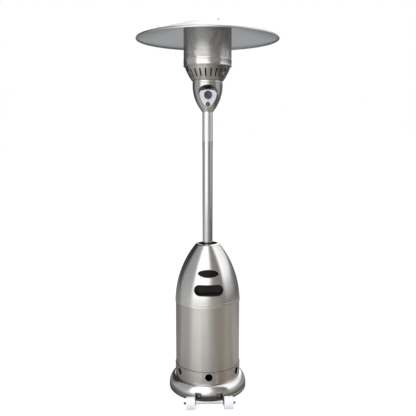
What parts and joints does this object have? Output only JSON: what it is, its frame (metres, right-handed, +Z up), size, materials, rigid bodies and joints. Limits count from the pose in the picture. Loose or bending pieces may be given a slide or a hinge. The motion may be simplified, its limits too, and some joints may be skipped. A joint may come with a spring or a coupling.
{
  "type": "outdoor gas heater",
  "caption": "Free-standing mushroom patio heater: round reflector over a perforated emitter, slim post, lifting bullet-shaped bottle housing, domed base with transport wheels.",
  "frame": {"origin": "centre of the round base on the floor", "axes": "+Z up along the post, -Y towards the control panel and the wheels, +X to the viewer's right when facing the controls"},
  "size_m": [0.834, 0.834, 2.2185],
  "materials": {
    "brushed_stainless": "brushed stainless sheet",
    "polished_stainless": "polished stainless sheet and fasteners",
    "spun_aluminium": "spun satin aluminium",
    "silver_panel": "fine silver paint",
    "dark_steel": "dark satin coating",
    "cast_weight": "rough casting",
    "brass": "machined brass",
    "black_plastic": "fine-grained black moulding",
    "knob_plastic": "semi-gloss dark moulding",
    "pale_plastic": "pale grey moulding",
    "label_film": "blank satin film",
    "white_ceramic": "glazed"
  },
  "bodies": {
    "stand": {"base_skirt": "polished_stainless", "base_plate": "dark_steel", "ballast_ring": "cast_weight", "vent_band": "brushed_stainless", "support_leg_1": "dark_steel", "support_leg_2": "dark_steel", "support_leg_3": "dark_steel", "leg_bolt_1": "polished_stainless", "leg_bolt_2": "polished_stainless", "leg_bolt_3": "polished_stainless", "post_flange": "dark_steel", "main_post": "brushed_stainless", "blank_label": "label_film", "inlet_fitting": "brass", "feed_pipe": "brass", "outlet_pipe": "brass", "gas_valve": "brass", "control_housing": "brushed_stainless", "control_panel": "silver_panel", "igniter_body": "black_plastic", "igniter_bezel": "black_plastic", "tilt_switch": "black_plastic", "collar_ring": "polished_stainless", "vent_cone": "brushed_stainless", "burner_tube": "dark_steel", "burner_dish": "dark_steel", "pilot_tube": "polished_stainless", "thermocouple": "polished_stainless", "spark_electrode": "white_ceramic", "emitter_base_ring": "brushed_stainless", "emitter_screen": "brushed_stainless", "emitter_cap": "brushed_stainless", "reflector": "spun_aluminium", "reflector_bolt_1": "polished_stainless", "reflector_bolt_2": "polished_stainless", "reflector_bolt_3": "polished_stainless", "reflector_nut_1": "polished_stainless", "reflector_nut_2": "polished_stainless", "reflector_nut_3": "polished_stainless", "rim_screw_1": "polished_stainless", "rim_screw_2": "polished_stainless", "rim_screw_3": "polished_stainless", "wheel_bracket_left": "dark_steel", "wheel_bracket_right": "dark_steel", "bracket_bolt_left": "polished_stainless", "bracket_bolt_right": "polished_stainless", "axle_rod": "polished_stainless", "axle_nut_left": "dark_steel", "axle_nut_right": "dark_steel"},
    "housing": {"tank_sleeve": "brushed_stainless", "bullet_cover": "brushed_stainless", "handle_cup": "black_plastic", "badge_rim": "polished_stainless", "badge_face": "black_plastic"},
    "valve_spindle": {"valve_stem": "brass"},
    "knob": {"knob": "knob_plastic"},
    "igniter_button": {"igniter_button": "polished_stainless"},
    "wheel_left": {"wheel_left": "pale_plastic"},
    "wheel_right": {"wheel_right": "pale_plastic"}
  },
  "joints": [
    {"name": "housing_lift", "type": "slide", "parent": "stand", "child": "housing", "axis": [0, 0, 1], "range_m": [0, 0.55]},
    {"name": "knob_push", "type": "slide", "parent": "stand", "child": "valve_spindle", "axis": [0, 1, 0], "range_m": [0, 0.003], "stiffness_N_per_m": 1500, "springref_m": -0.002},
    {"name": "knob_turn", "type": "hinge", "parent": "valve_spindle", "child": "knob", "pos_m": [0, -0.065, 1.797], "axis": [0, -1, 0], "range_deg": [0, 180]},
    {"name": "igniter_press", "type": "slide", "parent": "stand", "child": "igniter_button", "axis": [0, 1, 0], "range_m": [0, 0.004], "stiffness_N_per_m": 1200, "springref_m": -0.002},
    {"name": "wheel_left_spin", "type": "hinge", "parent": "stand", "child": "wheel_left", "pos_m": [-0.11, -0.315, 0.038], "axis": [1, 0, 0], "continuous": true},
    {"name": "wheel_right_spin", "type": "hinge", "parent": "stand", "child": "wheel_right", "pos_m": [0.11, -0.315, 0.038], "axis": [1, 0, 0], "continuous": true}
  ]
}
